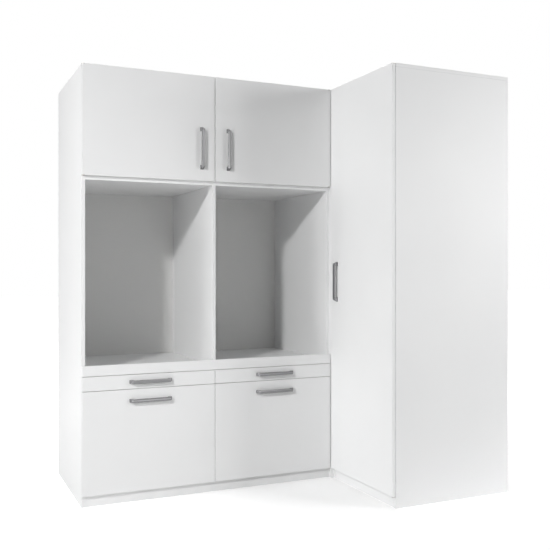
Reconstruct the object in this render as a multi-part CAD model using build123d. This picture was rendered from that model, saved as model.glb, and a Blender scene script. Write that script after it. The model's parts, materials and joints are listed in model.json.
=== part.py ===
from build123d import *
import os

os.makedirs("parts", exist_ok=True)

# Laundry cabinet: a main unit with two machine bays side by side, and a tall cupboard
# that stands in front of the corner and faces along the main unit.
# Lengths are in millimetres. X runs along the main unit, Y goes back, Z goes up.
# The sizes below count from the main unit's left front corner on the floor.

# overall sizes
cabinet_height = 2150
main_width = 1360
main_depth = 720
tall_width = 620
tall_depth = 705

# boards
board = 18
back_board = 8
machine_board = 22
cupboard_floor_board = 22
front_board = 16
drawer_board = 16
drawer_bottom_board = 8

# heights, from the floor up
plinth_height = 58
drawer_front_height = 506
tray_front_height = 70
rail_height = 51
rail_lip = 30
bay_height = 934

# gaps and clearances
front_air = 2
front_gap = 2
door_gap = 4
front_lap = 3
corner_gap = 3
plinth_setback = 2
shelf_setback = 4
shelf_air = 1
seat_air = 0.05
touch_air = 0.2
front_arris = 1
overrun = 5

# heights and planes that follow from the sizes above
front_bottom = plinth_height - front_lap
drawer_front_top = front_bottom + drawer_front_height
tray_front_bottom = drawer_front_top + front_gap
tray_front_top = tray_front_bottom + tray_front_height
rail_bottom = tray_front_top + front_gap
rail_top = rail_bottom + rail_height
bay_floor = rail_top - rail_lip
bay_ceiling = bay_floor + bay_height
cupboard_floor_top = bay_ceiling + cupboard_floor_board
door_bottom = cupboard_floor_top - front_lap
top_underside = cabinet_height - board
carcass_front = front_board + front_air
carcass_back = main_depth - back_board
side_gap = front_gap / 2

# the two bays: each is the left and right face of its space
bay_width = (main_width - 3 * board) / 2
left_bay = (board, board + bay_width)
right_bay = (2 * board + bay_width, main_width - board)
bays = {"left": left_bay, "right": right_bay}
centre = main_width / 2
front_spans = {
    "left": (side_gap, centre - side_gap),
    "right": (centre + side_gap, main_width - corner_gap),
}
door_spans = {
    "left": (side_gap, centre - door_gap / 2),
    "right": (centre + door_gap / 2, main_width - corner_gap),
}

# the tall cupboard: its door plane is the main unit's right end
tall_front = main_width + carcass_front
tall_end = main_width + tall_depth
tall_back_plane = tall_end - back_board
tall_inside = (board - tall_width, -board)
tall_door_span = (side_gap - tall_width, -front_gap)

# corner strips
filler_width = 100
cleat_width = 100

# shelves
cupboard_shelf_share = 0.5
tall_shelf_count = 5
tall_shelf_step = (top_underside - plinth_height) / (tall_shelf_count + 1)
pin_radius = 2.5
pin_length = 18
pin_depth = 8
pin_sides = 12
pin_place_shares = (0.1, 0.86)

# service cut-outs in the backs of the bays, at their left
service_width = 90
service_height = 220
service_inset = 30
service_rise = 60
service_radius = 20

# pivot hinges
pivot_inset = 6
pivot_plate_width = 12
pivot_plate_thickness = 3
pivot_plate_tail = 40
pivot_pin_radius = 2.5
pivot_pin_length = 20
pivot_play = 0.05
bush_radius = 4
bush_lip = 0.4
notch_length = 14
notch_air = 0.5
bush_length = pivot_pin_length

# handles
handle_length = 218
handle_foot = 22
handle_splay = 12
handle_projection = 24
handle_bar = 8
handle_width = 18
handle_bend = 9
handle_inner_bend = 4
handle_edge = 1.5
handle_edge_inset = 70
upper_handle_rise = 167
tall_handle_height = 1087
drawer_handle_drop = 56

# telescopic runners
runner_space = 12.7
runner_sheet = 1.2
drawer_runner_height = 45
tray_runner_height = 27
runner_length = 600
runner_front_setback = 5
runner_middle_setback = 20
runner_outer_lip = 9.5
runner_middle_web = 2.4
runner_middle_lip = 10.7
runner_inner_lip = 5
ball_gap = 2.2
ball_air = 0.2
ball_strip_start = 5.2
ball_strip_width = 4
drawer_travel = 500

# drawer boxes and trays
box_depth = 620
box_height = 330
box_bottom_rise = 24
box_groove = 6
box_runner_rise = 70
tray_board_rise = 6

# pads that quiet the fronts, catches and wall brackets
pad_size = 6
pad_inset = 45
strike_thickness = 1
strike_width = 30
strike_height = 12
catch_width = 38
catch_depth = 24
catch_height = 14
catch_inset = 95
bracket_leg = 50
bracket_width = 30
bracket_sheet = 2.5
bracket_hole_radius = 3.25
bracket_inset = 60
bracket_drop = 36

# the origin is the middle of the footprint
mid_x = tall_end / 2
mid_y = (main_depth - tall_width) / 2


def slab(x, y, z):
    # a board that fills the given spans
    spans = [sorted(span) for span in (x, y, z)]
    size = [high - low for low, high in spans]
    middle = [(low + high) / 2 for low, high in spans]
    return Pos(*middle) * Box(*size)


def along(axis):
    # turns what stands along Z on to one of the axes
    return {"X": Rot(0, 90, 0), "Y": Rot(-90, 0, 0), "Z": Rot(0, 0, 0)}[axis]


def rod(x, y, z, radius, length, axis="Z"):
    # a round bar from a point, along one of the axes; a minus length goes the other way
    return Pos(x, y, z) * along(axis) * Pos(0, 0, length / 2) * Cylinder(radius, abs(length))


def peg(x, y, z, radius, length, axis):
    # the same with flats, for what repeats many times
    profile = RegularPolygon(radius, pin_sides)
    return Pos(x, y, z) * along(axis) * extrude(profile, length)


def write(name, *solids):
    # one file for one named piece, or one group of equal pieces
    moved = [Pos(-mid_x, -mid_y, 0) * solid for solid in solids]
    shape = moved[0] if len(moved) == 1 else Compound(children=moved)
    export_step(shape, f"parts/{name}.step")


def span_at(start, length):
    return (start, start + length)


def around(middle, size):
    return (middle - size / 2, middle + size / 2)


def mix(span, share):
    return span[0] + share * (span[1] - span[0])


# Handles

def bow_handle():
    # a bow with splayed feet that lies along X and stands out towards -Y
    half = handle_length / 2
    crown = half - handle_splay
    inner = half - handle_foot
    under = handle_bar - handle_projection
    outline = [
        (-half, 0), (-crown, -handle_projection), (crown, -handle_projection), (half, 0),
        (inner, 0), (inner, under), (-inner, under), (-inner, 0),
    ]
    profile = Polygon(*outline, align=None)
    ends = profile.vertices()
    profile = fillet([v for v in ends if v.Y < under - overrun / 2], handle_bend)
    ends = profile.vertices()
    profile = fillet([v for v in ends if abs(v.Y - under) < seat_air], handle_inner_bend)
    bow = extrude(profile, handle_width / 2, both=True)
    rims = [e for e in bow.edges() if abs(abs(e.center().Z) - handle_width / 2) < seat_air]
    rims = [e for e in rims if e.center().Y < -seat_air]
    return chamfer(rims, handle_edge)


upright = Rot(0, 90, 0)
turned = Rot(0, 0, -90)
upside_down = Rot(0, 180, 0)
same = Rot(0, 0, 0)


# Pivot hinges

def pivot_plate():
    # a strip let into the carcass, with its pin pointing up and its tail running back
    back = carcass_front - pivot_inset + pivot_plate_tail
    nose = rod(0, 0, 0, pivot_plate_width / 2, pivot_plate_thickness)
    strip = slab(around(0, pivot_plate_width), (0, back), (0, pivot_plate_thickness))
    pin = rod(0, 0, pivot_plate_thickness, pivot_pin_radius, pivot_pin_length)
    return nose + strip + pin


def pivot_slot():
    back = carcass_front - pivot_inset + pivot_plate_tail + seat_air
    width = pivot_plate_width + 2 * seat_air
    return slab(around(0, width), (0, back), (-seat_air, pivot_plate_thickness + seat_air))


def pivot_bush():
    # a sleeve round a pin that points up; it stands out of the door by its lip and carries it
    start = pivot_plate_thickness + notch_air
    bush = rod(0, 0, start - bush_lip, bush_radius, bush_lip + bush_length)
    return bush - rod(0, 0, 0, pivot_pin_radius + pivot_play, start + bush_length + overrun)


def bush_bore():
    start = pivot_plate_thickness + notch_air
    return rod(0, 0, start - overrun, bush_radius + seat_air, bush_length + seat_air + overrun)


def pivots(axis_x, axis_y, low, high, turn=same):
    # the places of a door's bottom and top pivot
    return [Pos(axis_x, axis_y, low) * turn, Pos(axis_x, axis_y, high) * turn * upside_down]


left_pivot_x = door_spans["left"][0] + pivot_inset
right_pivot_x = door_spans["right"][1] - pivot_inset
tall_pivot = (main_width + pivot_inset, tall_door_span[0] + pivot_inset)
door_pivots = {
    "left": pivots(left_pivot_x, pivot_inset, door_bottom, cabinet_height),
    "right": pivots(right_pivot_x, pivot_inset, door_bottom, cabinet_height),
    "tall": pivots(*tall_pivot, front_bottom, cabinet_height, turned),
}


# Runners

def channel(wall, side, web, lip, height, y, middle):
    # a folded strip: web and lip are the distances of its back and its open edge from the wall
    fold = runner_sheet if lip > web else -runner_sheet
    back = (wall + side * web, wall + side * (web + fold))
    depth = (wall + side * web, wall + side * lip)
    low, high = around(middle, height)
    return (
        slab(back, y, (low, high))
        + slab(depth, y, span_at(low, runner_sheet))
        + slab(depth, y, span_at(high, -runner_sheet))
    )


def bay_walls(bay):
    # the two side walls of a bay: the place of each face and the way in from it
    return [(bay[0], 1), (bay[1], -1)]


def middle_height(height):
    return height - 2 * (runner_sheet + ball_gap)


runner_y = span_at(carcass_front + runner_front_setback, runner_length)
middle_y = (runner_y[0] + runner_middle_setback, runner_y[1] - runner_middle_setback)
middle_y_half = sum(middle_y) / 2


def cabinet_runners(bay, height, middle):
    return [
        channel(wall, side, 0, runner_outer_lip, height, runner_y, middle)
        for wall, side in bay_walls(bay)
    ]


def middle_runners(bay, height, middle):
    solids = []
    inner = middle_height(height)
    strip = ball_gap - 2 * ball_air
    for wall, side in bay_walls(bay):
        start = wall + side * ball_strip_start
        x = (start, start + side * ball_strip_width)
        solids.append(channel(wall, side, runner_middle_web, runner_middle_lip, inner, middle_y, middle))
        for way in (-1, 1):
            outer_face = middle + way * (inner / 2 + ball_air)
            inner_face = middle + way * (inner / 2 - runner_sheet - ball_air)
            solids.append(slab(x, (middle_y_half, middle_y[1]), span_at(outer_face, way * strip)))
            solids.append(slab(x, (middle_y[0], middle_y_half), span_at(inner_face, -way * strip)))
    return solids


def drawer_runners(bay, height, middle):
    inner = middle_height(middle_height(height))
    return [
        channel(wall, side, runner_space, runner_inner_lip, inner, runner_y, middle)
        for wall, side in bay_walls(bay)
    ]


# Fronts

def front(x, z):
    # a board whose front arrises are eased
    panel = slab(x, (0, front_board), z)
    return chamfer(panel.faces().sort_by(Axis.Y)[0].edges(), front_arris)


def cut(solid, tools):
    for tool in tools:
        solid -= tool
    return solid


# Shelf pins and their holes

def pin_columns(y):
    return [mix(y, share) for share in pin_place_shares]


def pin_row(wall, side, y_places, z, axis="X"):
    # the pins that carry one edge of a shelf, and the holes round them
    pins, holes = [], []
    top = z - pin_radius - seat_air
    for place in y_places:
        at = (wall, place) if axis == "X" else (place, wall)
        pins.append(peg(*shift(at, axis, -side * pin_depth), top, pin_radius, side * pin_length, axis))
        hole_length = -side * (pin_depth + seat_air + overrun)
        start = shift(at, axis, side * overrun)
        holes.append(peg(*start, top, pin_radius + seat_air, hole_length, axis))
    return pins, holes


def shift(at, axis, length):
    return (at[0] + length, at[1]) if axis == "X" else (at[0], at[1] + length)


# Wall brackets

def wall_bracket():
    # an angle in the corner under a top panel, with its upright leg against a back
    flat = slab(around(0, bracket_width), (0, -bracket_leg), (0, -bracket_sheet))
    leg = slab(around(0, bracket_width), (0, -bracket_sheet), (0, -bracket_leg))
    return flat + leg - wall_hole()


def wall_hole():
    # for the screw that goes through bracket and back into the wall
    return rod(0, -bracket_leg, -bracket_drop, bracket_hole_radius, 2 * bracket_leg, "Y")


def bracket_ends(span):
    return (span[0] + bracket_inset, span[1] - bracket_inset)


bracket_places = {
    side: [Pos(sum(bay) / 2, carcass_back, top_underside)] for side, bay in bays.items()
}
bracket_places["tall"] = [
    Pos(tall_back_plane, y, top_underside) * turned for y in bracket_ends(tall_inside)
]


# Main unit carcass

def main_unit():
    pins = []
    shelf_y = (carcass_front + shelf_setback, carcass_back - shelf_air)
    shelf_z = cupboard_floor_top + cupboard_shelf_share * (top_underside - cupboard_floor_top)
    columns = pin_columns(shelf_y)

    holes = {"left": [], "divider": [], "right": []}
    for bay, panels in ((left_bay, ("left", "divider")), (right_bay, ("divider", "right"))):
        for (wall, side), panel in zip(bay_walls(bay), panels):
            row_pins, row_holes = pin_row(wall, side, columns, shelf_z)
            pins += row_pins
            holes[panel] += row_holes
    for side in bays:
        holes[side] += [place * pivot_slot() for place in door_pivots[side]]
    side_y, side_z = (carcass_front, main_depth), (0, cabinet_height)
    left = cut(slab((0, board), side_y, side_z), holes["left"])
    right = cut(slab((main_width - board, main_width), side_y, side_z), holes["right"])
    base_y = (carcass_front + plinth_setback + board, carcass_back)
    divider_x = (left_bay[1], right_bay[0])
    divider = slab(divider_x, (carcass_front, carcass_back), (0, top_underside))
    plinth_notch = slab(divider_x, (carcass_front - overrun, base_y[0]), (-overrun, plinth_height))
    divider = cut(divider, holes["divider"] + [plinth_notch])

    write("left_side_panel", left)
    write("right_side_panel", right)
    write("centre_divider", divider)
    inside_x = (board, main_width - board)
    write("top_panel", slab(inside_x, (carcass_front, main_depth), (top_underside, cabinet_height)))
    plinth_y = span_at(carcass_front + plinth_setback, board)
    write("plinth_board", slab(inside_x, plinth_y, (0, plinth_height)))
    rail_x = (side_gap, main_width - corner_gap)
    rail = slab(rail_x, (0, carcass_front), (rail_bottom, rail_top))
    rail = chamfer(rail.faces().sort_by(Axis.Y)[0].edges(), front_arris)
    write("front_rail", rail)

    floors, ceilings, bases, backs, shelves = [], [], [], [], []
    for side, bay in bays.items():
        floors.append(slab(bay, (carcass_front, carcass_back), (bay_floor - machine_board, bay_floor)))
        ceilings.append(slab(bay, (carcass_front, carcass_back), (bay_ceiling, cupboard_floor_top)))
        bases.append(slab(bay, base_y, (plinth_height - board, plinth_height)))
        back_x = (board, centre) if bay is left_bay else (centre, main_width - board)
        back = slab(back_x, (carcass_back, main_depth), (plinth_height - board, top_underside))
        hole = Rectangle(service_width, service_height)
        hole = fillet(hole.vertices(), service_radius)
        hole = extrude(Rot(90, 0, 0) * hole, main_depth, both=True)
        rise = bay_floor + service_rise + service_height / 2
        openings = [Pos(bay[0] + service_inset + service_width / 2, main_depth, rise) * hole]
        openings += [place * wall_hole() for place in bracket_places[side]]
        backs.append(cut(back, openings))
        shelf_x = (bay[0] + shelf_air, bay[1] - shelf_air)
        shelves.append(slab(shelf_x, shelf_y, span_at(shelf_z, board)))
    write("machine_shelves", *floors)
    write("cupboard_floors", *ceilings)
    write("base_panels", *bases)
    write("back_panels", *backs)
    write("cupboard_shelves", *shelves)
    return pins


# Tall cupboard carcass

def tall_unit():
    pins = []
    inside_y = tall_inside
    near = slab((tall_front, tall_end), (-tall_width, inside_y[0]), (0, top_underside))
    far = slab((tall_front, tall_end), (inside_y[1], 0), (0, top_underside))
    shelf_x = (tall_front + shelf_setback, tall_back_plane - shelf_air)
    columns = pin_columns(shelf_x)
    shelf_y = (inside_y[0] + shelf_air, inside_y[1] - shelf_air)
    shelves = []
    for step in range(1, tall_shelf_count + 1):
        z = plinth_height + step * tall_shelf_step - board / 2
        shelves.append(slab(shelf_x, shelf_y, span_at(z, board)))
        near_pins, near_holes = pin_row(inside_y[0], 1, columns, z, "Y")
        far_pins, far_holes = pin_row(inside_y[1], -1, columns, z, "Y")
        near = cut(near, near_holes)
        far = cut(far, far_holes)
        pins += near_pins + far_pins
    bottom, top = [place * pivot_slot() for place in door_pivots["tall"]]
    lid = slab((tall_front, tall_end), (-tall_width, 0), (top_underside, cabinet_height))
    write("tall_near_side", near - bottom)
    write("tall_far_side", far)
    write("tall_top_panel", lid - top)
    plinth_x = span_at(tall_front + plinth_setback, board)
    write("tall_plinth_board", slab(plinth_x, inside_y, (0, plinth_height)))
    base_x = (plinth_x[1], tall_back_plane)
    write("tall_base_panel", slab(base_x, inside_y, (plinth_height - board, plinth_height)))
    back_z = (plinth_height - board, top_underside)
    back = slab((tall_back_plane, tall_end), inside_y, back_z)
    write("tall_back_panel", cut(back, [place * wall_hole() for place in bracket_places["tall"]]))
    write("tall_shelves", *shelves)
    return pins


# The strips that join the two units at the inner corner

def corner():
    filler_x = span_at(main_width, filler_width)
    write("corner_filler", slab(filler_x, (0, board), (0, cabinet_height)))
    cleat_y = span_at(board, cleat_width)
    write("corner_cleat", slab(span_at(main_width, board), cleat_y, (0, cabinet_height)))


# Doors

def door_fittings(name, places, strike):
    write(name, *[place * pivot_bush() for place in places], strike)


def upper_door(side):
    x = door_spans[side]
    z = (door_bottom, cabinet_height)
    hinge_edge, free_edge = (x[0], x[1]) if side == "left" else (x[1], x[0])
    inward = 1 if side == "left" else -1
    panel = front(x, z)
    notch_x = (hinge_edge - inward * overrun, hinge_edge + inward * notch_length)
    notch = pivot_plate_thickness + notch_air
    notch_y = (-overrun, front_board + overrun)
    cuts = [
        slab(notch_x, notch_y, (z[0] - overrun, z[0] + notch)),
        slab(notch_x, notch_y, (z[1] - notch, z[1] + overrun)),
    ]
    cuts += [place * bush_bore() for place in door_pivots[side]]
    handle_x = free_edge - inward * handle_edge_inset
    place = Pos(handle_x, 0, door_bottom + upper_handle_rise) * upright
    write(f"upper_{side}_door", cut(panel, cuts))
    write(f"upper_{side}_handle", place * bow_handle())
    strike_x = around(free_edge - inward * catch_inset, strike_width)
    strike_y = span_at(front_board, strike_thickness)
    strike_z = span_at(top_underside - (catch_height - strike_height) / 2, -strike_height)
    door_fittings(f"upper_{side}_door_fittings", door_pivots[side], slab(strike_x, strike_y, strike_z))


def tall_door():
    # drawn as a front that faces -Y, then turned to face -X
    z = (front_bottom, cabinet_height)
    width = tall_door_span[1] - tall_door_span[0]
    turn = Pos(main_width, tall_door_span[1], 0) * turned
    panel = turn * front((0, width), z)
    hinge_y = tall_door_span[0]
    notch_y = (hinge_y - overrun, hinge_y + notch_length)
    notch = pivot_plate_thickness + notch_air
    notch_x = (main_width - overrun, main_width + front_board + overrun)
    cuts = [
        slab(notch_x, notch_y, (z[0] - overrun, z[0] + notch)),
        slab(notch_x, notch_y, (z[1] - notch, z[1] + overrun)),
    ]
    cuts += [place * bush_bore() for place in door_pivots["tall"]]
    place = turn * Pos(handle_edge_inset, 0, tall_handle_height) * upright
    write("tall_door", cut(panel, cuts))
    write("tall_handle", place * bow_handle())
    strike_y = around(tall_door_span[1] - catch_inset, strike_width)
    strike_x = span_at(main_width + front_board, strike_thickness)
    strike_z = span_at(top_underside - (catch_height - strike_height) / 2, -strike_height)
    door_fittings("tall_door_fittings", door_pivots["tall"], slab(strike_x, strike_y, strike_z))


# Drawers and pull-out trays

tray_board_bottom = tray_front_bottom + tray_board_rise
tray_runner_middle = tray_board_bottom + board / 2
box_bottom = front_bottom + box_bottom_rise
box_runner_middle = box_bottom + box_runner_rise
tray_handle_height = tray_front_bottom + tray_front_height / 2
box_y = span_at(front_board, box_depth)


def box_span(bay):
    return (bay[0] + runner_space, bay[1] - runner_space)


def tray(side):
    x, bay = front_spans[side], bays[side]
    place = Pos(sum(x) / 2, 0, tray_handle_height)
    write(f"{side}_tray_front", front(x, (tray_front_bottom, tray_front_top)))
    write(f"{side}_tray_handle", place * bow_handle())
    write(f"{side}_tray_board", slab(box_span(bay), box_y, span_at(tray_board_bottom, board)))
    write(f"{side}_tray_runners", *drawer_runners(bay, tray_runner_height, tray_runner_middle))
    write(f"{side}_tray_middle_runners", *middle_runners(bay, tray_runner_height, tray_runner_middle))


def drawer(side):
    x, bay = front_spans[side], bays[side]
    place = Pos(sum(x) / 2, 0, drawer_front_top - drawer_handle_drop)
    write(f"{side}_drawer_front", front(x, (front_bottom, drawer_front_top)))
    write(f"{side}_drawer_handle", place * bow_handle())
    outer = box_span(bay)
    inner = (outer[0] + drawer_board, outer[1] - drawer_board)
    z = span_at(box_bottom, box_height)
    floor_z = span_at(box_bottom + drawer_board, drawer_bottom_board)
    floor_x = (inner[0] - box_groove, inner[1] + box_groove)
    floor_y = (box_y[0], box_y[1] - drawer_board + box_groove)
    groove_z = (floor_z[0] - seat_air, floor_z[1] + seat_air)
    groove_x = (floor_x[0] - seat_air, floor_x[1] + seat_air)
    groove = slab(groove_x, (floor_y[0] - overrun, floor_y[1] + seat_air), groove_z)
    left_board = slab((outer[0], inner[0]), box_y, z) - groove
    right_board = slab((inner[1], outer[1]), box_y, z) - groove
    back_y = span_at(box_y[1], -drawer_board)
    write(f"{side}_drawer_sides", left_board, right_board)
    write(f"{side}_drawer_back", slab(inner, back_y, z) - groove)
    write(f"{side}_drawer_bottom", slab(floor_x, floor_y, floor_z))
    write(f"{side}_drawer_runners", *drawer_runners(bay, drawer_runner_height, box_runner_middle))
    write(f"{side}_drawer_middle_runners",
          *middle_runners(bay, drawer_runner_height, box_runner_middle))


# Small fixed fittings

def fixed_fittings():
    plates = [place * pivot_plate() for places in door_pivots.values() for place in places]
    write("pivot_plates", *plates)

    fixed = []
    for bay in bays.values():
        fixed += cabinet_runners(bay, tray_runner_height, tray_runner_middle)
        fixed += cabinet_runners(bay, drawer_runner_height, box_runner_middle)
    write("cabinet_runners", *fixed)

    catches = []
    catch_z = span_at(top_underside, -catch_height)
    catch_reach = span_at(front_board + strike_thickness + touch_air, catch_depth)
    for side, inward in (("left", -1), ("right", 1)):
        free_edge = door_spans[side][1] if side == "left" else door_spans[side][0]
        catches.append(slab(around(free_edge + inward * catch_inset, catch_width), catch_reach, catch_z))
    tall_reach = (main_width + catch_reach[0], main_width + catch_reach[1])
    catches.append(slab(tall_reach, around(tall_door_span[1] - catch_inset, catch_width), catch_z))
    write("magnet_catches", *catches)

    pads = []
    pad_span = (carcass_front - front_air + touch_air, carcass_front)
    tall_pad_span = (main_width + pad_span[0], main_width + pad_span[1])
    front_ends = (front_bottom + pad_inset, drawer_front_top - pad_inset)
    door_ends = (door_bottom + pad_inset, cabinet_height - pad_inset)
    for x in (centre - board / 4, centre + board / 4):
        for z in (*front_ends, tray_runner_middle, *door_ends):
            pads.append(slab(around(x, pad_size), pad_span, around(z, pad_size)))
    for x in (board / 2, main_width - board / 2):
        for z in (*front_ends, tray_runner_middle):
            pads.append(slab(around(x, pad_size), pad_span, around(z, pad_size)))
    tall_middle = (front_bottom + top_underside) / 2
    for z in (front_bottom + pad_inset, tall_middle, top_underside - pad_inset):
        pads.append(slab(tall_pad_span, around(-board / 2, pad_size), around(z, pad_size)))
    write("bumper_pads", *pads)

    brackets = [place * wall_bracket() for places in bracket_places.values() for place in places]
    write("wall_brackets", *brackets)


shelf_pins = main_unit() + tall_unit()
write("shelf_pins", *shelf_pins)
corner()
fixed_fittings()
tall_door()
for name in bays:
    upper_door(name)
    tray(name)
    drawer(name)
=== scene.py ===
import json
import math
import random

import bmesh
import bpy
from mathutils import Matrix, Vector


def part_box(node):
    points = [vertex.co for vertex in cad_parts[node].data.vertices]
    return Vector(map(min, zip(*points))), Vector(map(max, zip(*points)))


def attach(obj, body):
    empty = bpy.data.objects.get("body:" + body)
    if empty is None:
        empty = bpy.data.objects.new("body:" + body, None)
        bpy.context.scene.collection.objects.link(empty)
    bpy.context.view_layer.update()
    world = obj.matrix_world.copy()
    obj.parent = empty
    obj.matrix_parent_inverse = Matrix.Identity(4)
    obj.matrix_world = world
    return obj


# White laundry cabinet: the main unit with its bays and pull-outs, and the tall cupboard at the corner.
# Metres, X along the main unit, Y back to the wall, Z up.

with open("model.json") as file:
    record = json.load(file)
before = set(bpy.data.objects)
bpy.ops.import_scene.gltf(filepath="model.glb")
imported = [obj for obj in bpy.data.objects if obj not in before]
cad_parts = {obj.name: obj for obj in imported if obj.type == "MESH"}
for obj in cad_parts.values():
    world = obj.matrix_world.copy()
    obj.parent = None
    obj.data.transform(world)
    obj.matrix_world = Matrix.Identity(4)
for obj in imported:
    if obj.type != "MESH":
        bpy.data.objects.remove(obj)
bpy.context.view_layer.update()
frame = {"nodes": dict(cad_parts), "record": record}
nodes = frame["nodes"]
scene = bpy.context.scene
random.seed(7)
mm = 0.001
alongX, alongY, alongZ = range(3)  # places in a vector


# Helpers for node materials. In the dictionaries of the finishes, a noise is its scale, detail and
# roughness, a bump is its strength and its depth, and a rough or a range is its low and its high end.

noiseRange = (0.3, 0.7)  # where most of a noise's values lie

mixSockets = {
    "first": 6,
    "second": 7,
    "result": 2,
}

edgeTurn = {
    "samples": 6,
    "range": (0.75, 0.99),  # the cosine between the true normal and the rounded one
}


def newMaterial(name):
    material = bpy.data.materials.new(name)
    material.use_nodes = True
    tree = material.node_tree
    shader = tree.nodes["Principled BSDF"]
    return material, tree, shader


def addNode(tree, kind, **values):
    node = tree.nodes.new(kind)
    for key, value in values.items():
        if key in node.inputs:
            node.inputs[key].default_value = value
        else:
            setattr(node, key, value)
    return node


def objectPoint(tree, scale=(1, 1, 1)):
    # the place on the piece, in metres, stretched by scale
    coordinate = addNode(tree, "ShaderNodeTexCoord")
    mapping = addNode(tree, "ShaderNodeMapping", Scale=scale)
    tree.links.new(coordinate.outputs["Object"], mapping.inputs["Vector"])
    return mapping.outputs["Vector"]


def noise(tree, vector, scale, detail, roughness):
    node = addNode(tree, "ShaderNodeTexNoise", Scale=scale, Detail=detail, Roughness=roughness)
    tree.links.new(vector, node.inputs["Vector"])
    return node.outputs["Fac"]


def spread(tree, value, toRange=(0, 1), fromRange=noiseRange):
    # maps one range on to another
    node = addNode(tree, "ShaderNodeMapRange")
    node.inputs["From Min"].default_value, node.inputs["From Max"].default_value = fromRange
    node.inputs["To Min"].default_value, node.inputs["To Max"].default_value = toRange
    tree.links.new(value, node.inputs["Value"])
    return node.outputs["Result"]


def calculate(tree, operation, *values):
    # each value is a number or another node's output
    node = addNode(tree, "ShaderNodeMath", operation=operation)
    for socket, value in zip(node.inputs, values):
        if isinstance(value, float):
            socket.default_value = value
        else:
            tree.links.new(value, socket)
    return node.outputs["Value"]


def blendColours(tree, factor, first, second):
    # each colour is a tuple or another node's output
    node = addNode(tree, "ShaderNodeMix", data_type="RGBA")
    tree.links.new(factor, node.inputs["Factor"])
    for place, colour in (("first", first), ("second", second)):
        socket = node.inputs[mixSockets[place]]
        if isinstance(colour, tuple):
            socket.default_value = (*colour, 1)
        else:
            tree.links.new(colour, socket)
    return node.outputs[mixSockets["result"]]


def bump(tree, shader, height, strength, depth):
    node = addNode(tree, "ShaderNodeBump", Strength=strength, Distance=depth)
    tree.links.new(height, node.inputs["Height"])
    tree.links.new(node.outputs["Normal"], shader.inputs["Normal"])


def edgeMask(tree, radius):
    # one where a rounded corner would turn and nought on the flat
    bevel = addNode(tree, "ShaderNodeBevel", samples=edgeTurn["samples"], Radius=radius)
    geometry = addNode(tree, "ShaderNodeNewGeometry")
    dot = addNode(tree, "ShaderNodeVectorMath", operation="DOT_PRODUCT")
    tree.links.new(bevel.outputs["Normal"], dot.inputs[0])
    tree.links.new(geometry.outputs["True Normal"], dot.inputs[1])
    return spread(tree, dot.outputs["Value"], (1, 0), edgeTurn["range"])


# White melamine boards, and a variant with painted shade along its arrises for the joint under the tall
# unit's lid

melamine = {
    "face": (0.83, 0.832, 0.832),
    "shade": (0.805, 0.808, 0.81),
    "shadeNoise": (1.7, 2.0, 0.5),
    "edge": (0.78, 0.78, 0.775),
    "edgeRadius": 0.7 * mm,
    # the joint tone and its radius paint shade along the arrises of the two boards at the lid, standing in
    # for the shadow in their joint
    "jointShadeTone": (0.22, 0.22, 0.22),
    "jointShadeRadius": 1.8 * mm,
    "rough": (0.36, 0.48),
    "specular": 0.4,
    "pearlNoise": (1400, 2.0, 0.6),
    "waveNoise": (160, 3.0, 0.5),
    "waveShare": 0.5,
    "bump": (0.12, 0.15 * mm),
}


def melamineMaterial(name, edgeTone, edgeRadius):
    material, tree, shader = newMaterial(name)
    point = objectPoint(tree)
    shade = noise(tree, point, *melamine["shadeNoise"])
    pearl = noise(tree, point, *melamine["pearlNoise"])
    wave = noise(tree, point, *melamine["waveNoise"])
    face = blendColours(tree, spread(tree, shade), melamine["face"], melamine["shade"])
    # the edge tone is the banding's own colour on most boards, and a painted shade on the two boards at
    # the lid's joint
    colour = blendColours(tree, edgeMask(tree, edgeRadius), face, edgeTone)
    tree.links.new(colour, shader.inputs["Base Color"])
    tree.links.new(spread(tree, wave, melamine["rough"]), shader.inputs["Roughness"])
    shader.inputs["Specular IOR Level"].default_value = melamine["specular"]
    height = calculate(tree, "MULTIPLY_ADD", wave, melamine["waveShare"], pearl)
    bump(tree, shader, height, *melamine["bump"])
    return material


# Thin white fibreboard of the backs and drawer bottoms

fibreboard = {
    "face": (0.80, 0.80, 0.79),
    "speck": (0.74, 0.735, 0.72),
    "speckRange": (0.45, 0.75),
    "stretch": (1, 1, 0.35),
    "fibreNoise": (420, 5.0, 0.65),
    "rough": (0.55, 0.7),
    "bump": (0.25, 0.1 * mm),
}


def fibreboardMaterial():
    material, tree, shader = newMaterial("whiteFibreboard")
    fibre = noise(tree, objectPoint(tree, fibreboard["stretch"]), *fibreboard["fibreNoise"])
    specks = spread(tree, fibre, fromRange=fibreboard["speckRange"])
    colour = blendColours(tree, specks, fibreboard["face"], fibreboard["speck"])
    tree.links.new(colour, shader.inputs["Base Color"])
    tree.links.new(spread(tree, fibre, fibreboard["rough"]), shader.inputs["Roughness"])
    bump(tree, shader, fibre, *fibreboard["bump"])
    return material


# Satin metal of the bow handles, brushed along their length

handleMetal = {
    "light": (0.25, 0.25, 0.255),
    "dark": (0.18, 0.18, 0.185),
    "grainStretch": (2600, 40),  # across and along the handle
    "grainNoise": (1.0, 2.0, 0.7),
    "streak": (0.38, 0.38, 0.385),
    "streakStretch": (150, 2),
    "streakNoise": (1.0, 1.0, 0.5),
    "streakRange": (0.54, 0.68),
    "worn": (0.38, 0.38, 0.38),
    "wearNoise": (55, 2.0, 0.5),
    "wearRange": (0.1, 0.7),
    "edgeRadius": 0.8 * mm,
    "rough": (0.34, 0.5),
    "metallic": 0.9,
    "bump": (0.15, 0.05 * mm),
}


def brushedPoint(tree, stretch, lengthAxis):
    across, along = stretch
    scale = [across, across, across]
    scale[lengthAxis] = along
    return objectPoint(tree, tuple(scale))


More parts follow.
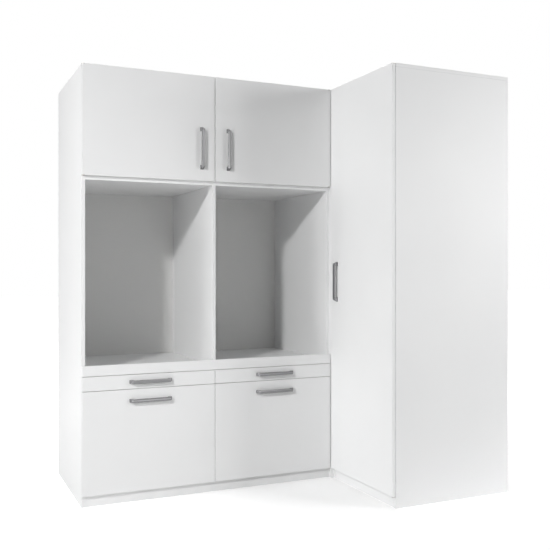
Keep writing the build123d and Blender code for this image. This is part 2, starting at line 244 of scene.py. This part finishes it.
def handleMaterial(name, lengthAxis):
    material, tree, shader = newMaterial(name)
    grainPoint = brushedPoint(tree, handleMetal["grainStretch"], lengthAxis)
    streakPoint = brushedPoint(tree, handleMetal["streakStretch"], lengthAxis)
    grain = noise(tree, grainPoint, *handleMetal["grainNoise"])
    streak = noise(tree, streakPoint, *handleMetal["streakNoise"])
    cloud = noise(tree, objectPoint(tree), *handleMetal["wearNoise"])
    brushed = blendColours(tree, spread(tree, grain), handleMetal["dark"], handleMetal["light"])
    streaks = spread(tree, streak, fromRange=handleMetal["streakRange"])
    streaked = blendColours(tree, streaks, brushed, handleMetal["streak"])
    patches = spread(tree, cloud, handleMetal["wearRange"])
    wear = calculate(tree, "MULTIPLY", edgeMask(tree, handleMetal["edgeRadius"]), patches)
    colour = blendColours(tree, wear, streaked, handleMetal["worn"])
    tree.links.new(colour, shader.inputs["Base Color"])
    tree.links.new(spread(tree, grain, handleMetal["rough"]), shader.inputs["Roughness"])
    shader.inputs["Metallic"].default_value = handleMetal["metallic"]
    bump(tree, shader, grain, *handleMetal["bump"])
    return material


# Zinc-plated sheet of the runners and brackets, and nickel-plated pins and hinges

zincPlate = {
    "light": (0.62, 0.63, 0.65),
    "dark": (0.48, 0.49, 0.52),
    "crystals": 130,
    "smearNoise": (90, 3.0, 0.5),
    "rough": (0.28, 0.46),
    "metallic": 1.0,
    "bump": (0.08, 0.05 * mm),
}

nickelPlate = {
    "light": (0.50, 0.485, 0.46),
    "dark": (0.40, 0.39, 0.375),
    "crystals": 300,
    "smearNoise": (90, 3.0, 0.5),
    "rough": (0.42, 0.54),
    "metallic": 1.0,
    "bump": (0.08, 0.05 * mm),
}


def platedMaterial(name, plate):
    material, tree, shader = newMaterial(name)
    point = objectPoint(tree)
    cells = addNode(tree, "ShaderNodeTexVoronoi", Scale=plate["crystals"])
    tree.links.new(point, cells.inputs["Vector"])
    bright = addNode(tree, "ShaderNodeSeparateColor")
    tree.links.new(cells.outputs["Color"], bright.inputs["Color"])
    colour = blendColours(tree, bright.outputs["Red"], plate["dark"], plate["light"])
    tree.links.new(colour, shader.inputs["Base Color"])
    smear = noise(tree, point, *plate["smearNoise"])
    tree.links.new(spread(tree, smear, plate["rough"]), shader.inputs["Roughness"])
    shader.inputs["Metallic"].default_value = plate["metallic"]
    bump(tree, shader, smear, *plate["bump"])
    return material


# Moulded plastic of the catches and bushes, and the soft pads

catchPlastic = {
    "colour": (0.78, 0.78, 0.77),
    "grainShade": 0.94,
    "grainNoise": (900, 2.0, 0.5),
    "rough": (0.36, 0.48),
    "subsurface": 0.0,
    "bump": (0.2, 0.05 * mm),
}

padPlastic = {
    "colour": (0.72, 0.72, 0.70),
    "grainShade": 0.94,
    "grainNoise": (500, 2.0, 0.5),
    "rough": (0.54, 0.66),
    "subsurface": 0.25,
    "bump": (0.2, 0.05 * mm),
}


def plasticMaterial(name, plastic):
    material, tree, shader = newMaterial(name)
    grain = noise(tree, objectPoint(tree), *plastic["grainNoise"])
    darker = tuple(plastic["grainShade"] * channel for channel in plastic["colour"])
    tree.links.new(blendColours(tree, grain, plastic["colour"], darker), shader.inputs["Base Color"])
    tree.links.new(spread(tree, grain, plastic["rough"]), shader.inputs["Roughness"])
    shader.inputs["Subsurface Weight"].default_value = plastic["subsurface"]
    shader.inputs["Subsurface Scale"].default_value = mm
    bump(tree, shader, grain, *plastic["bump"])
    return material


# Helpers for places on the cabinet

def middleOf(low, high):
    return (low + high) / 2


def standsUpright(name):
    low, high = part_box(name)
    return high.z - low.z > high.x - low.x


def pointing(axis, way=1):
    direction = Vector((0, 0, 0))
    direction[axis] = way
    return direction


# Dressing of the carried-over nodes: materials by slot, and soft arrises on the boards and handles

dressing = {
    "boardArris": 0.6 * mm,
    "metalArris": 0.5 * mm,
    "arrisSteps": 2,
    "sharpFrom": 30,  # degrees
    "joinWithin": 0.01 * mm,
    # these two boards get a painted shade line on their arrises, standing in for the shadow in the joint
    # under the lid
    "shadedJointBoards": ("tall_top_panel", "tall_near_side"),  # the joint under the lid shows as a fine line
}


def softenEdges(piece, width):
    weld = piece.modifiers.new("joinCorners", "WELD")
    weld.merge_threshold = dressing["joinWithin"]
    arris = piece.modifiers.new("softArris", "BEVEL")
    arris.width = width
    arris.segments = dressing["arrisSteps"]
    arris.limit_method = "ANGLE"
    arris.angle_limit = math.radians(dressing["sharpFrom"])


def dressNodes():
    upright = handleMaterial("handleUpright", alongZ)
    level = handleMaterial("handleLevel", alongX)
    # painted shade along the joint under the lid and the arrises of its two boards
    shadedJointMaterial = melamineMaterial("shadedJointMelamine", melamine["jointShadeTone"], melamine["jointShadeRadius"])
    bySlot = {
        "white_board": melamineMaterial("whiteMelamine", melamine["edge"], melamine["edgeRadius"]),
        "back_board": fibreboardMaterial(),
        "runner_steel": platedMaterial("zincPlate", zincPlate),
        "fitting_steel": platedMaterial("nickelPlate", nickelPlate),
        "catch_plastic": plasticMaterial("catchPlastic", catchPlastic),
        "pad_rubber": plasticMaterial("padPlastic", padPlastic),
    }
    arrisBySlot = {
        "white_board": dressing["boardArris"],
        "handle_metal": dressing["metalArris"],
    }
    for part in frame["record"]["subparts"]:
        name, slot = part["node"], part["material_slot"]
        piece = nodes[name]
        if slot == "handle_metal":
            material = upright if standsUpright(name) else level
        elif name in dressing["shadedJointBoards"]:
            material = shadedJointMaterial
        else:
            material = bySlot[slot]
        piece.data.materials.clear()
        piece.data.materials.append(material)
        if slot in arrisBySlot:
            softenEdges(piece, arrisBySlot[slot])
    print("dressed", len(nodes), "nodes")
    return bySlot


# Screws: round heads with a cross recess, high ones behind the handles and low ones elsewhere

panScrew = {
    "radius": 4 * mm,
    "height": 2.2 * mm,
}

flatScrew = {
    "radius": 3.4 * mm,
    "height": 0.7 * mm,
}

# shares of a head's radius and height, with as many corners in a ring as in the cross
screwHead = {
    "corners": 12,
    "rings": ((1, 0), (1, 0.25), (0.88, 0.7), (0.62, 1)),
    "crossLong": 0.52,
    "crossWide": 0.13,
    "crossDeep": 0.6,
}


def ringPoints(radius, height):
    corners = screwHead["corners"]
    angles = [math.tau * (step + 0.5) / corners for step in range(corners)]
    return [(radius * math.cos(angle), radius * math.sin(angle), height) for angle in angles]


def crossPoints(radius, height):
    long, wide = screwHead["crossLong"] * radius, screwHead["crossWide"] * radius
    arm = [(long, wide), (wide, wide), (wide, long)]
    points = []
    for quarter in range(4):
        turn = Matrix.Rotation(math.radians(90 * quarter), 2)
        points += [(*(turn @ Vector(point)), height) for point in arm]
    return points


def addScrew(mesh, place, outward, size):
    radius, height = size["radius"], size["height"]
    stand = outward.to_track_quat("Z", "X").to_matrix().to_4x4()
    turn = Matrix.Translation(place) @ stand @ Matrix.Rotation(random.uniform(0, math.pi), 4, "Z")
    outlines = [ringPoints(radius * wide, height * up) for wide, up in screwHead["rings"]]
    outlines += [crossPoints(radius, height * up) for up in (1, 1 - screwHead["crossDeep"])]
    loops = [[mesh.verts.new(turn @ Vector(point)) for point in outline] for outline in outlines]
    roundedSteps = len(screwHead["rings"]) - 1
    for step, (lower, upper) in enumerate(zip(loops, loops[1:])):
        for i in range(screwHead["corners"]):
            j = (i + 1) % screwHead["corners"]
            face = mesh.faces.new((lower[i], lower[j], upper[j], upper[i]))
            face.smooth = step < roundedSteps
    mesh.faces.new(loops[-1])
    mesh.faces.new(reversed(loops[0]))


def makePiece(name, mesh, material, body):
    data = bpy.data.meshes.new(name)
    bmesh.ops.recalc_face_normals(mesh, faces=mesh.faces)
    mesh.to_mesh(data)
    mesh.free()
    data.materials.append(material)
    piece = bpy.data.objects.new(name, data)
    scene.collection.objects.link(piece)
    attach(piece, body)


# Where the screws go: behind each handle, through the runners, and into the back of the carcass.
# Each place is kept with the way its head points and its kind, under the body that it rides on.

handleScrews = {
    "footInset": 11 * mm,
    "fronts": {
        "upper_left_handle": ("upper_left_door", "upper_left_leaf"),
        "upper_right_handle": ("upper_right_door", "upper_right_leaf"),
        "tall_handle": ("tall_door", "tall_leaf"),
        "left_tray_handle": ("left_tray_front", "left_tray"),
        "right_tray_handle": ("right_tray_front", "right_tray"),
        "left_drawer_handle": ("left_drawer_front", "left_drawer"),
        "right_drawer_handle": ("right_drawer_front", "right_drawer"),
    },
}

runnerScrews = {
    "steps": (40 * mm, 264 * mm, 488 * mm),  # from the front end of the runner
    "sheet": 1.2 * mm,
    "space": 12.7 * mm,  # between the pull-out and the cabinet
    "carriers": {
        "left_tray": "left_tray_board",
        "left_drawer": "left_drawer_sides",
        "right_tray": "right_tray_board",
        "right_drawer": "right_drawer_sides",
    },
}

backScrews = {
    "rowBoards": ("base_panels", "machine_shelves", "cupboard_floors"),
    "acrossEach": 5,
    "sideInset": 45 * mm,
    "upright": 9,
    "dividerInset": 4.5 * mm,
}


def handleScrewPlaces():
    # two for each handle, with their heads on the inner side of its front
    found = {}
    inset = handleScrews["footInset"]
    for handle, (front, body) in handleScrews["fronts"].items():
        low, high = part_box(handle)
        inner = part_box(front)[1]
        length = alongZ if standsUpright(handle) else alongX
        through = alongX if body == "tall_leaf" else alongY  # the tall door faces along the main unit
        found[body] = []
        for foot in (low[length] + inset, high[length] - inset):
            place = middleOf(low, high)
            place[length] = foot
            place[through] = inner[through]
            found[body].append((place, pointing(through), panScrew))
    return found


def runnerScrewPlaces():
    # pairs of heads in the drawer's member and in the cabinet's, on both sides of each pull-out
    found = {"carcass": []}
    sheet, space = runnerScrews["sheet"], runnerScrews["space"]
    for body, carrier in runnerScrews["carriers"].items():
        low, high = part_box(carrier)
        runnerLow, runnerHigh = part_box(body + "_runners")
        z = middleOf(runnerLow, runnerHigh).z
        found[body] = []
        for edge, way in ((low.x, -1), (high.x, 1)):
            web = edge + way * sheet
            wall = edge + way * (space - sheet)
            for step in runnerScrews["steps"]:
                y = runnerLow.y + step
                found[body].append((Vector((web, y, z)), pointing(alongX, way), flatScrew))
                found["carcass"].append((Vector((wall, y, z)), pointing(alongX, -way), flatScrew))
    return found


def backScrewPlaces():
    # rows on the boards that the backs cover, and a column on each side of the divider's middle
    low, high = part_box("back_panels")
    middle = middleOf(*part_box("centre_divider")).x
    inset, count = backScrews["sideInset"], backScrews["acrossEach"]
    spots = []
    for board in backScrews["rowBoards"]:
        z = middleOf(*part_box(board)).z
        for start, end in ((low.x, middle), (middle, high.x)):
            gap = (end - start - 2 * inset) / (count - 1)
            spots += [(start + inset + step * gap, z) for step in range(count)]
    for step in range(backScrews["upright"]):
        z = low.z + (step + 0.5) / backScrews["upright"] * (high.z - low.z)
        spots += [(middle + way * backScrews["dividerInset"], z) for way in (-1, 1)]
    return [(Vector((x, high.y, z)), pointing(alongY), flatScrew) for x, z in spots]


def makeScrews(material):
    places = handleScrewPlaces()
    for body, more in runnerScrewPlaces().items():
        places.setdefault(body, []).extend(more)
    places["carcass"] += backScrewPlaces()
    for body, screwPlaces in places.items():
        mesh = bmesh.new()
        for place, outward, size in screwPlaces:
            addScrew(mesh, place, outward, size)
        makePiece(body + "_screws", mesh, material, body)
    print("driven", sum(len(each) for each in places.values()), "screws")


# The studio: a pale floor, soft lamps and a white surround

studio = {
    "white": (1, 1, 1),
    "whiteStrength": 1.0,
    "ambientTone": (0.97, 0.985, 1),
    "ambientStrength": 0.03,
    "floorTone": (0.94, 0.94, 0.94),
    "floorSide": 60,
    "floorMiddle": (0.3, 0.0, 0.0),
}

# how far from the cabinet the floor that the camera sees is lifted by a painted glow, and by how much; the
# glow is weakest near the cabinet, where the lit floor's own shadow shows
floorLift = {
    "near": {"distance": (0.4, 1.2), "lift": (0.1, 0.42)},
    "far": {"distance": (1.5, 3.0), "lift": (0.0, 0.6)},
}

openBeam = 180  # degrees, for a lamp that gives no beam of its own

# places and sizes in metres, power in watts, beam in degrees
lamps = {
    "leftWindow": {"place": (-9.0, -0.8, 2.4), "aim": (0.2, 0.0, 1.1), "size": 4.0, "power": 262},
    "leftLow": {"place": (-3.6, -2.2, 0.5), "aim": (-0.2, 0.0, 0.4), "size": 1.4, "power": 13},
    "key": {"place": (-3.6, -2.9, 3.1), "aim": (-0.5, -0.1, 0.7), "size": 0.3, "power": 24, "beam": 80},
    "rightFront": {"place": (4.6, -4.6, 2.2), "aim": (0.4, -0.4, 1.1), "size": 2.0, "power": 134},
    "rightFar": {"place": (7.5, -3.6, 1.8), "aim": (0.6, -0.4, 1.0), "size": 3.0, "power": 168},
    "foot": {"place": (3.2, -2.2, 0.35), "aim": (0.6, -0.6, -0.3), "size": 0.5, "power": 0.85, "beam": 28},
    "overhead": {"place": (0.3, 1.4, 5.6), "aim": (0.2, 0.1, 2.0), "size": 2.4, "power": 60},
    "behind": {"place": (1.0, 5.6, 5.4), "aim": (0.2, 0.3, 1.2), "size": 3.0, "power": 130},
}


def cameraRayMix(tree, seen, unseen, output):
    # seen is what the camera and mirror-like surfaces get, unseen is what lights the object
    path = addNode(tree, "ShaderNodeLightPath").outputs
    mirrored = calculate(tree, "MAXIMUM", path["Is Glossy Ray"], path["Is Transmission Ray"])
    looking = calculate(tree, "MAXIMUM", path["Is Camera Ray"], mirrored)
    mix = addNode(tree, "ShaderNodeMixShader")
    for value, socket in zip((looking, unseen, seen), mix.inputs):
        tree.links.new(value, socket)
    tree.links.new(mix.outputs["Shader"], output)


def makeWorld():
    world = bpy.data.worlds.new("studioWorld")
    scene.world = world
    world.use_nodes = True
    tree = world.node_tree
    tree.nodes.clear()
    output = addNode(tree, "ShaderNodeOutputWorld")
    white, ambient = [
        addNode(tree, "ShaderNodeBackground", Color=(*tone, 1), Strength=strength).outputs["Background"]
        for tone, strength in (
            (studio["white"], studio["whiteStrength"]),
            (studio["ambientTone"], studio["ambientStrength"]),
        )
    ]
    cameraRayMix(tree, white, ambient, output.inputs["Surface"])
    print("surrounded in white, with ambient light of", studio["ambientStrength"])


def makeFloor():
    bpy.ops.mesh.primitive_plane_add(size=studio["floorSide"])
    floor = bpy.context.object
    floor.name = "studioFloor"
    material, tree, shader = newMaterial("paleFloor")
    tree.nodes.remove(shader)
    matt = addNode(tree, "ShaderNodeBsdfDiffuse", Color=(*studio["floorTone"], 1))
    bright = addNode(tree, "ShaderNodeBsdfDiffuse", Color=(*studio["white"], 1))
    away = addNode(tree, "ShaderNodeVectorMath", operation="DISTANCE")
    tree.links.new(objectPoint(tree), away.inputs[0])
    away.inputs[1].default_value = studio["floorMiddle"]
    near, far = [
        spread(tree, away.outputs["Value"], ramp["lift"], ramp["distance"])
        for ramp in floorLift.values()
    ]
    # painted glow on the floor, seen only by the camera and mirror-like surfaces, growing away from the
    # cabinet
    glow = addNode(tree, "ShaderNodeEmission")
    tree.links.new(calculate(tree, "ADD", near, far), glow.inputs["Strength"])
    lifted = addNode(tree, "ShaderNodeAddShader")
    tree.links.new(bright.outputs["BSDF"], lifted.inputs[0])
    tree.links.new(glow.outputs["Emission"], lifted.inputs[1])
    surface = tree.nodes["Material Output"].inputs["Surface"]
    cameraRayMix(tree, lifted.outputs["Shader"], matt.outputs["BSDF"], surface)
    floor.data.materials.append(material)
    print("laid a floor", studio["floorSide"], "metres wide")


def makeLamps():
    for name, lamp in lamps.items():
        data = bpy.data.lights.new(name, "AREA")
        data.shape = "SQUARE"
        data.size = lamp["size"]
        data.energy = lamp["power"]
        data.spread = math.radians(lamp.get("beam", openBeam))
        light = bpy.data.objects.new(name, data)
        light.location = lamp["place"]
        aim = Vector(lamp["aim"]) - Vector(lamp["place"])
        light.rotation_euler = aim.to_track_quat("-Z", "Y").to_euler()
        scene.collection.objects.link(light)
    print("lit by", len(lamps), "lamps")


# The camera stands where the photograph was taken from, and looks level

camera = {
    "place": (-1.7213, -3.8140, 1.1501),
    "turnRight": 24.42,
    "focalPixels": 771.3,
    "imagePixels": 550,
    "horizonPixel": 270.17,
    "sensor": 36,
    "farthest": 200,
}


def makeCamera():
    data = bpy.data.cameras.new("viewCamera")
    data.sensor_width = camera["sensor"]
    data.lens = camera["focalPixels"] * camera["sensor"] / camera["imagePixels"]
    data.shift_y = camera["horizonPixel"] / camera["imagePixels"] - 0.5
    data.clip_end = camera["farthest"]
    view = bpy.data.objects.new("viewCamera", data)
    view.location = camera["place"]
    view.rotation_euler = (math.radians(90), 0, -math.radians(camera["turnRight"]))
    scene.collection.objects.link(view)
    scene.camera = view
    print("camera at", camera["place"])


finishes = dressNodes()
makeScrews(finishes["fitting_steel"])
makeWorld()
makeFloor()
makeLamps()
makeCamera()

scene.view_settings.view_transform = "Standard"
